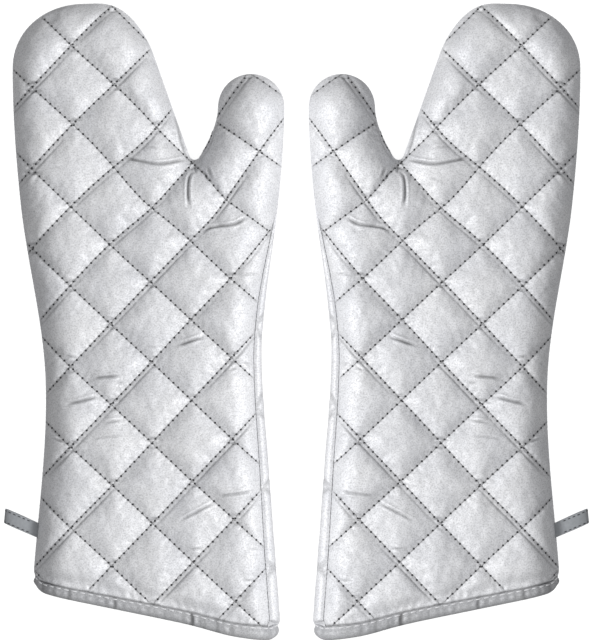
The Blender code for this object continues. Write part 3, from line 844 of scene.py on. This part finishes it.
def add_wrapped_edge(mesh):
    """Carries the back panel round the mitt's inner side to its seam with the front panel."""
    bm = bmesh.new()
    bm.from_mesh(mesh)
    shade_paint = bm.verts.layers.float["shade_paint"]
    rim = [v for v in bm.verts if v.is_boundary and v.co.x > 0.03 and v.co.y < WRAP[-1][0]]
    beside = distance_to(np.array([v.co.xy[:] for v in rim]), SILHOUETTE) < 0.0009
    rim = sorted((v for v, near in zip(rim, beside) if near), key=lambda v: -v.co.y)
    side = np.array([v.co.xy[:] for v in rim])
    into, width = inwards(side), np.maximum(wrap_width(side), 0.0002)
    free = smoothstep(above_cuff(side), 0.0060, 0.0110)
    share = np.linspace(0, 1, WRAP_COLUMNS)[1:]
    cells = in_cells(side, QUILT_CROSSING["back"])
    rows = []
    for k, vert in enumerate(rim):
        plan = side[k] + into[k] * (width[k] * share + 0.0005 * share**6)[:, None]
        slack = min(0.0024, width[k] * 0.4) * free[k]
        slanted = cells[k][:, None] + np.outer((1, -1), 0.11 * (share - 0.5))
        crossed = np.abs(slanted - np.round(slanted)) * QUILT_PITCH
        pinch = 1 - ridge(crossed, 0, 0.0014).max(0)
        bulge = slack * np.sin(math.pi * share) ** 0.7 * (0.1 + 0.9 * pinch)
        height = quilt_level(plan, 1) + bulge * 0.75 - SEAM_DIP * share**6
        height -= 0.0014 * (1 - free[k])  # flattened where the tape goes over it
        plan = plan - np.outer(bulge * 0.4, into[k])
        rows.append([vert] + [bm.verts.new((*p, h)) for p, h in zip(plan, height)])
        # painted shade in the pinches where the quilting's stitches draw the wrapped edge in
        for point, tight in zip(rows[-1][1:], pinch):
            point[shade_paint] = 0.45 * (1 - tight) * min(1.0, width[k] / 0.003)
    for upper, lower in zip(rows, rows[1:]):
        for k in range(WRAP_COLUMNS - 1):
            bm.faces.new((upper[k], upper[k + 1], lower[k + 1], lower[k]))
    bmesh.ops.recalc_face_normals(bm, faces=bm.faces)
    soft = [v for row in rows for v in row[:2]]
    soft += [e.other_vert(row[0]) for row in rows for e in row[0].link_edges]
    soft = list(set(soft) - {v for v in soft if v.is_boundary})
    for _ in range(3):
        bmesh.ops.smooth_vert(
            bm, verts=soft, factor=0.5, use_axis_x=True, use_axis_y=True, use_axis_z=True
        )
    bm.to_mesh(mesh)
    bm.free()
    lowest = min(mesh.polygons, key=lambda face: face.center.z)
    if lowest.normal.z > 0:
        mesh.flip_normals()


RING_STEP = 0.0012


def cuff_ring(loop, side_count):
    """Points round the cuff's cut edge, from the outer side over the front and back underneath."""
    cut = np.vstack([loop[side_count - 1 :], loop[:1]])[::-1]
    top = np.column_stack([cut, quilt_level(cut, 1)])
    bottom = np.column_stack([cut, quilt_level(cut, -1)])[::-1]
    ring = resample(np.vstack([top, bottom[1:-1]]), RING_STEP, closed=True)
    for _ in range(6):
        ring = (np.roll(ring, 1, 0) + 2 * ring + np.roll(ring, -1, 0)) / 4
    return ring


def ring_frames(ring):
    """(up the mitt, outwards) at each point of the cuff's ring."""
    along = np.roll(ring, -1, 0) - np.roll(ring, 1, 0)
    lean = np.interp(ring[:, 0], CUFF_SPAN, (0.085, -0.065))
    up = np.column_stack([lean, np.ones(len(ring)), np.zeros(len(ring))])
    return unit(up), unit(np.cross(along, up))


def ring_noise(count, size, seed):
    """Smooth random values about -1 to 1 round a ring that closes on itself."""
    source = np.random.default_rng(seed)
    turn = np.arange(count) / count * math.tau
    total = np.zeros(count)
    for _ in range(6):
        total += np.sin(turn * round(size * source.uniform(0.6, 1.5)) + source.uniform(0, math.tau))
    return total / math.sqrt(6)


# (height in shares of the tape's width, distance out) across the tape, from its outer edge round the
# cut edge of the cuff to its inner edge
TAPE_SECTION = [
    (1.00, 0.0003), (0.98, 0.0009), (0.90, 0.0011), (0.80, 0.0010), (0.70, 0.0014), (0.55, 0.0018),
    (0.38, 0.0019), (0.20, 0.0016), (0.05, 0.0010), (-0.08, 0.0001), (-0.16, -0.0010),
    (-0.19, -0.0023), (-0.16, -0.0036), (-0.06, -0.0047), (0.10, -0.0055), (0.35, -0.0058),
    (0.60, -0.0056), (0.80, -0.0052), (0.92, -0.0050), (1.00, -0.0047),
]


def tape_point(ring, up, out, share, away):
    return ring + up * (share * hem_width(ring[:, 0]))[:, None] + out * np.reshape(away, (-1, 1))


def binding_mesh(name, ring):
    """The folded tape, gathered a little by its stitches."""
    up, out = ring_frames(ring)
    count = len(ring)
    gathers = ring_noise(count, 52, 5)
    tucks = np.clip(ring_noise(count, 34, 9) - 0.5, 0, 1)
    scallop = np.abs(np.sin(np.arange(count) * math.pi * RING_STEP / 0.0070))
    rows = []
    for share, away in TAPE_SECTION:
        crumple = (gathers * 0.0004 - tucks * 0.0013) * ridge(share, 0.45, 0.35)
        crumple *= 1 if away > -0.001 else -0.6
        edge = scallop * 0.0005 * max(0.0, share - 0.85) / 0.15
        rows.append(tape_point(ring, up, out, share + edge / 0.0075, away + crumple))
    points = np.array(rows).transpose(1, 0, 2).reshape(-1, 3)
    mesh = mesh_of(name, points, grid_faces(count, len(TAPE_SECTION), closed=True))
    # painted shade in the tape's tucks
    store_shade_paint(mesh, np.repeat(tucks * 1.1, len(TAPE_SECTION)))
    return mesh


def binding_stitches(name, ring):
    """A row on the tape's outer leaf, and a finer one on its inner leaf, facing the hand."""
    up, out = ring_frames(ring)
    rows = Stitches()
    outer = {"pitch": 0.0056, "radius": 0.00042, "fill": 0.76}
    inner = {"pitch": 0.0046, "radius": 0.00032, "fill": 0.80}
    for share, away, facing, look in ((0.88, 0.0012, 1, outer), (0.80, -0.0054, -1, inner)):
        at = tape_point(ring, up, out, share, away)
        rows.run(np.vstack([at, at[:1]]), facing * np.vstack([out, out[:1]]), **look)
    return rows.mesh(name)


LINING_STEPS = 8
LINING_INSET = 0.0070
LINING_DEPTH = 0.0042  # from the outer cloth's stitched level to the lining
LINING_ROUND = 0.018
LINING_PUFF = 0.0030
LINING_CLOTH, TAPE_CLOTH = 0.0008, 0.0006
QUILT_TAKE_UP = 1.03  # cloth that the quilting takes up


def lining_mesh(name, face):
    """The cotton inside one panel, quilted with it."""
    loop = cut_at_cuff(inset_line(LINING_INSET))[0]
    crossing = QUILT_CROSSING["front" if face > 0 else "back"]
    plan, faces, quilt = panel_plan(loop, crossing, LINING_STEPS)
    away = distance_to(plan, SILHOUETTE) - LINING_INSET
    half = thickness(plan) / 2
    puff = pillow(quilt, 2.4) * smoothstep(away, 0, 0.012)
    puff = np.where(np.isnan(quilt[:, 0]), 0, puff) * LINING_PUFF
    lift = puff * smoothstep(above_cuff(plan), 0.007, 0.018)
    height = half + face * ((half - PUFF - LINING_DEPTH) * rounding(away, LINING_ROUND) - lift)
    mesh = plan_mesh(name, plan, faces, height)
    if face > 0:
        mesh.flip_normals()
    return mesh


def lining_cut():
    """(width, length) and area of the flat cotton that lines one panel."""
    loop = cut_at_cuff(inset_line(LINING_INSET))[0]
    x, y = loop.T
    area = abs(x @ np.roll(y, -1) - y @ np.roll(x, -1)) / 2
    width, length = np.ptp(loop, axis=0) * QUILT_TAKE_UP
    return (width, length), area * QUILT_TAKE_UP**2


def seam_line(loop, side_count):
    """(points, normals) along the side seam, a little down in its groove."""
    side = resample(loop[:side_count], SPACING)
    outward = -inwards(side)
    wrap = wrap_width(side)[:, None] > 0.001
    points = np.column_stack([side, quilt_level(side, 1)])
    normals = np.column_stack([outward * np.where(wrap, 0.5, 1), np.where(wrap, 0.85, 0.05)])
    return points, normals


# ---- Hanging loop ----

LOOP_TAPE_WIDTH = 0.0101
LOOP_COLUMNS = 9
LOOP_TAPE = 0.0009  # thickness of one leaf
LOOP_DROP = 0.0008  # how much nearer the cuff it sits than the CAD's
LOOP_TILT = math.tan(math.radians(18.5))  # it leans towards the fingers
LOOP_CROWN = 0.00025  # how far the tape's edges curl down
LOOP_HINGE = 0.0016  # from the seam to the line that the tape bends on
LOOP_CLEARANCE = 0.0045  # length beside the seam without edge stitches, where the loop bends
LOOP_TAIL = [(-0.0060, 0.00055), (-0.0030, 0.00055), (-0.0002, 0.00055)]  # caught in the seam
# (out from the seam, height) along the middle of the upper leaf, from the seam to the fold
LOOP_LEAF = [
    (-0.0006, 0.00055), (0.0030, 0.00070), (0.0060, 0.0014), (0.0095, 0.0027), (0.0135, 0.0034),
    (0.0175, 0.0034), (0.0205, 0.0026), (0.0224, 0.0012), (0.0229, 0.0),
]


def loop_frame(side):
    """(seam point, way out, way up the seam) at a hanging loop, in the frame."""
    name = ("left" if side == LEFT else "right") + "_loop_swing"
    joint = next(j for j in frame["joints"] if j["name"] == name)
    up = np.array(joint["axis"]) * (1 if side == LEFT else -1)
    out = np.array((side * up[1], -side * up[0], 0.0))
    return np.array(joint["pos_m"]) - out * LOOP_HINGE, out, up


def loop_points(profile, side):
    """Sweeps a profile of (out, height) across the tape's width."""
    seam, out, up = loop_frame(side)
    half_width = LOOP_TAPE_WIDTH / 2
    across = np.linspace(-half_width, half_width, LOOP_COLUMNS)
    rows = []
    for reach, height in profile:
        shift = across - LOOP_DROP + reach * LOOP_TILT
        crown = LOOP_CROWN * (across / half_width) ** 2
        rows.append(seam + reach * out + np.outer(shift, up))
        rows[-1][:, 2] += height - crown
    return np.array(rows)


def ribbon_mesh(name, rows):
    return mesh_of(name, rows.reshape(-1, 3), grid_faces(*rows.shape[:2]))


def loop_profile():
    upper = smooth_line(np.array(LOOP_LEAF), 0.0008)
    lower = upper[::-1][1:] * (1, -1)
    return np.vstack([upper, lower])


def loop_edge_stitches(name, side):
    """Two rows of dark stitches along the edges of the loop's upper leaf and round its fold."""
    profile = loop_profile()
    rows = loop_points(profile[profile[:, 0] > LOOP_CLEARANCE], side)
    stitches = Stitches()
    for column in (1, -2):
        line = rows[:, column]
        along = np.gradient(line, axis=0)
        wide = rows[:, -1] - rows[:, 0]
        normal = unit(np.cross(along, wide) * side)
        if normal[len(normal) // 4][2] < 0:
            normal = -normal
        stitches.run(line + normal * LOOP_TAPE / 2, normal, pitch=0.0034, radius=0.00032, fill=0.66)
    return stitches.mesh(name)


# ---- Materials ----


class Shader:
    """A small helper to build a procedural material."""

    def __init__(self, name, **sockets):
        self.material = bpy.data.materials.new(name)
        self.material.use_nodes = True
        self.tree = self.material.node_tree
        self.shader = self.tree.nodes["Principled BSDF"]
        for socket, value in sockets.items():
            self.shader.inputs[socket.replace("_", " ")].default_value = value

    def link(self, socket, value):
        """Sets a socket to a number or colour, or links it to another node's output."""
        if isinstance(value, bpy.types.NodeSocket):
            self.tree.links.new(value, socket)
        else:
            socket.default_value = (*value, 1) if isinstance(value, tuple) else value

    def node(self, kind, links=(), **settings):
        node = self.tree.nodes.new("ShaderNode" + kind)
        for key, value in settings.items():
            if key in node.bl_rna.properties:
                setattr(node, key, value)
            else:
                node.inputs[key.replace("_", " ")].default_value = value
        for socket, source in dict(links).items():
            self.tree.links.new(source, node.inputs[socket])
        return node

    def place(self):
        return self.node("TexCoord").outputs["Object"]

    def noise(self, scale, detail, roughness):
        settings = {"Scale": scale, "Detail": detail, "Roughness": roughness}
        return self.node("TexNoise", {"Vector": self.place()}, **settings).outputs["Fac"]

    def weave(self, scale, turn=0.0):
        """Threads crossing at right angles, as a height from 0 to 1."""
        turned = self.node("Mapping", {"Vector": self.place()}, Rotation=(0, 0, turn)).outputs[0]
        across, along = (
            self.node("TexWave", {"Vector": turned}, bands_direction=way, Scale=scale, Distortion=0.4)
            for way in ("X", "Y")
        )
        return self.math("MAXIMUM", across.outputs["Fac"], along.outputs["Fac"])

    def math(self, operation, first, second):
        node = self.node("Math", operation=operation)
        for socket, value in zip(node.inputs, (first, second)):
            self.link(socket, value)
        return node.outputs[0]

    def ramp(self, factor, stops):
        node = self.node("ValToRGB", {0: factor})
        ramp = node.color_ramp
        while len(ramp.elements) < len(stops):
            ramp.elements.new(0.5)
        for element, (at, colour) in zip(ramp.elements, stops):
            element.position = at
            element.color = (*colour, 1)
        return node.outputs[0]

    def mix(self, factor, first, second, blend="MIX"):
        node = self.node("Mix", data_type="RGBA", blend_type=blend)
        for place, value in ((0, factor), (6, first), (7, second)):  # the colour sockets of Mix
            self.link(node.inputs[place], value)
        return node.outputs[2]

    def colour(self, socket):
        self.tree.links.new(socket, self.shader.inputs["Base Color"])

    def roughness(self, socket):
        self.tree.links.new(socket, self.shader.inputs["Roughness"])

    def bump(self, height, distance, strength):
        under = self.shader.inputs["Normal"].links
        node = self.node("Bump", {"Height": height}, Distance=distance, Strength=strength)
        if under:
            self.tree.links.new(under[0].from_socket, node.inputs["Normal"])
        self.tree.links.new(node.outputs[0], self.shader.inputs["Normal"])


def silver_cloth(name, tint):
    """Aluminium-coated plain weave: pale grey, a fine sparkle, a soft metal sheen, and painted shade where
    its mesh stores it.
    """
    made = Shader(name, Metallic=0.16, Roughness=0.5, Sheen_Weight=0.08)
    grain = made.noise(950, 3, 0.6)
    cloud = made.noise(38, 3, 0.55)
    low, mid, high = (tuple(c * k for c in tint) for k in (0.68, 0.87, 1.0))
    sparkle = made.ramp(grain, [(0.32, low), (0.48, mid), (0.62, high)])
    # here a random mottle in the coating's tone
    painted_shade_and_mottle = made.ramp(cloud, [(0.30, (0.90, 0.905, 0.92)), (0.70, (1, 1, 1))])
    unshaded = made.mix(1.0, sparkle, painted_shade_and_mottle, "MULTIPLY")
    # painted shade: the stored point values mix the colour towards a dark grey in grooves, folds, tucks and
    # along the tape's edge
    shade_paint = made.math("MULTIPLY", made.node("Attribute", attribute_name="shade_paint").outputs["Fac"], 0.75)
    made.colour(made.mix(shade_paint, unshaded, tuple(c * 0.22 for c in tint)))
    made.roughness(made.ramp(grain, [(0.3, (0.66,) * 3), (0.7, (0.48,) * 3)]))
    made.bump(made.weave(620, math.radians(3)), 0.00006, 0.5)
    made.bump(grain, 0.00012, 0.55)
    made.bump(made.noise(150, 3, 0.6), 0.0004, 0.30)
    return made.material


def cotton(name, light, dark):
    made = Shader(name, Roughness=0.92, Sheen_Weight=0.25)
    threads = made.weave(520)
    made.colour(made.mix(made.noise(700, 3, 0.6), dark, light))
    made.bump(threads, 0.00012, 0.7)
    made.bump(made.noise(260, 4, 0.6), 0.0003, 0.4)
    return made.material


def thread(name, light, dark):
    """Twisted thread, with lighter plies."""
    made = Shader(name, Roughness=0.62, Sheen_Weight=0.2)
    made.colour(made.mix(made.noise(2600, 1, 0.5), dark, light))
    made.bump(made.noise(3200, 1, 0.5), 0.00008, 0.6)
    return made.material


def loop_cloth(name):
    """Blue-grey woven tape."""
    made = Shader(name, Roughness=0.8, Sheen_Weight=0.2)
    threads = made.weave(900, math.radians(45))
    body = made.mix(made.noise(420, 3, 0.6), (0.25, 0.265, 0.285), (0.42, 0.44, 0.465))
    made.colour(made.mix(made.math("MULTIPLY", threads, 0.25), body, (0.48, 0.50, 0.52)))
    made.bump(threads, 0.0002, 0.8)
    return made.material


def floor_paint(name):
    made = Shader(name, Roughness=0.7)
    made.colour(made.ramp(made.noise(3, 2, 0.5), [(0.3, (0.90, 0.90, 0.90)), (0.7, (0.93, 0.93, 0.93))]))
    return made.material


# ---- The stage ----

WORLD, LAMP, FLOOR_SUN = 0.48, 55.0, 2.6
LAMP_SIZE, LAMP_AWAY, LAMP_DOWN, LAMP_HEIGHT = 0.8, 2.1, 0.15, 1.90
SKY_LOW, SKY_HIGH = 0.50, 1.20  # shares of the world's light at the horizon and overhead
BACKDROP = 0.85  # the world as the camera sees it
LIT = {name: bpy.data.collections.new(f"{name}_lit") for name in ("left", "right", "floor")}


def add_camera():
    """Looks straight down on the pair, from far enough that little of their sides shows."""
    distance, view_width = 2.6, 0.4053
    aim = Vector((0, 0.0003, 0.02))
    data = bpy.data.cameras.new("camera")
    data.sensor_width = 36.0
    data.sensor_fit = "HORIZONTAL"
    data.lens = data.sensor_width * distance / view_width
    camera = link("camera", data)
    camera.location = aim + Vector((0, 0, distance))
    bpy.context.scene.camera = camera
    bpy.context.scene.view_settings.view_transform = "Standard"


def add_light(name, kind, spot, aim, energy, size, lit):
    data = bpy.data.lights.new(name, kind)
    data.energy = energy
    if kind == "AREA":
        data.shape, data.size = "DISK", size
    light = link(name, data)
    light.location = spot
    light.rotation_euler = (Vector(aim) - Vector(spot)).to_track_quat("-Z", "Y").to_euler()
    light.visible_camera = False
    light.light_linking.receiver_collection = lit
    return light


def add_stage():
    """A white floor and, for each mitt, a soft lamp low on the side of its thumb."""
    world = bpy.data.worlds.new("studio")
    world.use_nodes = True
    tree = world.node_tree
    sockets = tree.nodes["Background"].inputs
    sockets["Color"].default_value = (1, 1, 1, 1)
    direction = tree.nodes.new("ShaderNodeTexCoord").outputs["Generated"]
    kinds = ("SeparateXYZ", "MapRange", "Mix")
    height, sky, seen = (tree.nodes.new(f"ShaderNode{kind}") for kind in kinds)
    levels = {"From Min": 0.05, "From Max": 0.8, "To Min": SKY_LOW * WORLD, "To Max": SKY_HIGH * WORLD}
    for socket, value in levels.items():
        sky.inputs[socket].default_value = value
    seen.inputs["B"].default_value = BACKDROP
    tree.links.new(direction, height.inputs[0])
    tree.links.new(height.outputs["Z"], sky.inputs["Value"])
    tree.links.new(tree.nodes.new("ShaderNodeLightPath").outputs["Is Camera Ray"], seen.inputs["Factor"])
    tree.links.new(sky.outputs[0], seen.inputs["A"])
    tree.links.new(seen.outputs[0], sockets["Strength"])
    bpy.context.scene.world = world
    for prefix, side in (("left", LEFT), ("right", RIGHT)):
        aim = (side * 0.10, 0.0, 0.03)
        spot = (aim[0] - side * LAMP_AWAY, -LAMP_DOWN, LAMP_HEIGHT)
        add_light(f"{prefix}_lamp", "AREA", spot, aim, LAMP, LAMP_SIZE, LIT[prefix])
    bm = bmesh.new()
    bmesh.ops.create_grid(bm, x_segments=4, y_segments=4, size=3.0)
    mesh = bpy.data.meshes.new("floor")
    bm.to_mesh(mesh)
    bm.free()
    floor = add_object("floor", mesh, floor_paint("floor_paint"), smooth=False)
    floor.location.z = -0.0003
    floor.visible_diffuse = floor.visible_glossy = False
    LIT["floor"].objects.link(floor)
    overhead = add_light("overhead", "SUN", (0, 0, 2), (0, 0, 0), FLOOR_SUN, 0, LIT["floor"])
    overhead.light_linking.blocker_collection = LIT["floor"]


# ---- Assembly ----


def mirrored(mesh, name):
    """The right mitt's copy of a left mitt's mesh."""
    copy = mesh.copy()
    copy.name = name
    set_coordinates(copy, coordinates(mesh) * (-1, 1, 1))
    copy.flip_normals()
    return copy


def declare(obj, prefix, body, slot, *nodes):
    LIT[prefix].objects.link(obj)
    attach(obj, f"{prefix}_{body}")
    if nodes:
        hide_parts(*(f"{prefix}_{node}" for node in nodes))


def for_both(key, left_mesh, slot, nodes, *materials, layer=None):
    """Adds a piece to both mitts, and returns each with its prefix. layer is a single cloth's thickness."""
    set_coordinates(left_mesh, to_frame(coordinates(left_mesh)))
    pair = []
    for prefix, mesh in (("left", left_mesh), ("right", None)):
        obj = add_object(f"{prefix}_{key}", mesh or mirrored(left_mesh, f"right_{key}"), *materials)
        if layer:
            subdivide(thicken(obj, layer))
        declare(obj, prefix, "mitt", slot, *nodes)
        pair.append((prefix, obj))
    return pair


def main():
    add_camera()
    silver = silver_cloth("silver_cloth", (0.86, 0.865, 0.885))
    tape = silver_cloth("binding_tape", (0.54, 0.545, 0.56))
    lining = cotton("cotton_lining", (0.80, 0.78, 0.74), (0.66, 0.64, 0.60))
    grey_thread = thread("quilting_thread", (0.52, 0.52, 0.53), (0.34, 0.34, 0.35))
    # near-black: painted shade for the needle holes, and the real colour of the loop's dark stitches
    hole = thread("hole_shade_and_dark_thread", (0.035, 0.035, 0.04), (0.012, 0.012, 0.014))
    # pale grey-white: painted highlight standing for the glint on the binding's and the seam's thread
    glint_painted_thread = thread("binding_thread", (0.86, 0.86, 0.88), (0.66, 0.66, 0.68))
    ribbon = loop_cloth("loop_tape")

    front_loop, front_sides = cut_at_cuff(inset_line(wrap_width(SILHOUETTE)))
    back_loop, back_sides = cut_at_cuff(SILHOUETTE)
    front = Panel("left_front_panel", 1, front_loop, front_sides)
    back = Panel("left_back_panel", -1, back_loop, back_sides)
    quilting = {"pitch": STITCH_PITCH, "radius": 0.00030, "fill": 0.80, "lift": 0.00020, "hole": 0.00078}
    for key, panel in (("front", front), ("back", back)):
        rows = Stitches()
        for points, normals in panel.stitch_lines():
            rows.run(points, normals, **quilting)
        mesh = rows.mesh(f"left_{key}_stitches")
        nodes = [f"{key}_quilting_thread"]
        for_both(f"{key}_quilt_stitches", mesh, "thread", nodes, grey_thread, hole)
        if panel is back:
            add_wrapped_edge(panel.mesh)
        nodes = [f"{key}_shell", f"{key}_wadding"]
        for _, obj in for_both(f"{key}_panel", panel.mesh, "silver_cloth", nodes, silver):
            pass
        mesh = lining_mesh(f"left_{key}_cotton", panel.face)
        nodes = [f"{key}_lining"]
        pair = for_both(f"{key}_cotton", mesh, "cotton_lining", nodes, lining, layer=LINING_CLOTH)
        flat, area = lining_cut()

    ring = cuff_ring(back_loop, back_sides)
    mesh = binding_mesh("left_binding_band", ring)
    pair = for_both("binding_band", mesh, "binding_tape", ["cuff_binding"], tape, layer=TAPE_CLOTH)
    mesh = binding_stitches("left_binding_stitches", ring)
    for_both("binding_stitches", mesh, "thread", ["binding_thread"], glint_painted_thread)

    seam = Stitches()
    seam.run(*seam_line(front_loop, front_sides), pitch=0.0032, radius=0.00024, fill=0.6, lift=-0.0002)
    mesh = seam.mesh("left_seam_stitches")
    for_both("seam_stitches", mesh, "thread", ["side_seam_thread"], glint_painted_thread)

    for prefix, side in (("left", LEFT), ("right", RIGHT)):
        name = f"{prefix}_loop_band"
        band = add_object(name, ribbon_mesh(name, loop_points(loop_profile(), side)), ribbon)
        subdivide(thicken(band, LOOP_TAPE, 0.0))
        declare(band, prefix, "loop", "loop_tape", "hanging_loop")
        name = f"{prefix}_loop_stitches"
        declare(add_object(name, loop_edge_stitches(name, side), hole), prefix, "loop", "thread")
        name = f"{prefix}_loop_ends"
        root = add_object(name, ribbon_mesh(name, loop_points(LOOP_TAIL, side)), ribbon)
        thicken(root, 2 * LOOP_TAPE, 0.0)
        declare(root, prefix, "mitt", "loop_tape", "loop_tail")
    add_stage()


main()
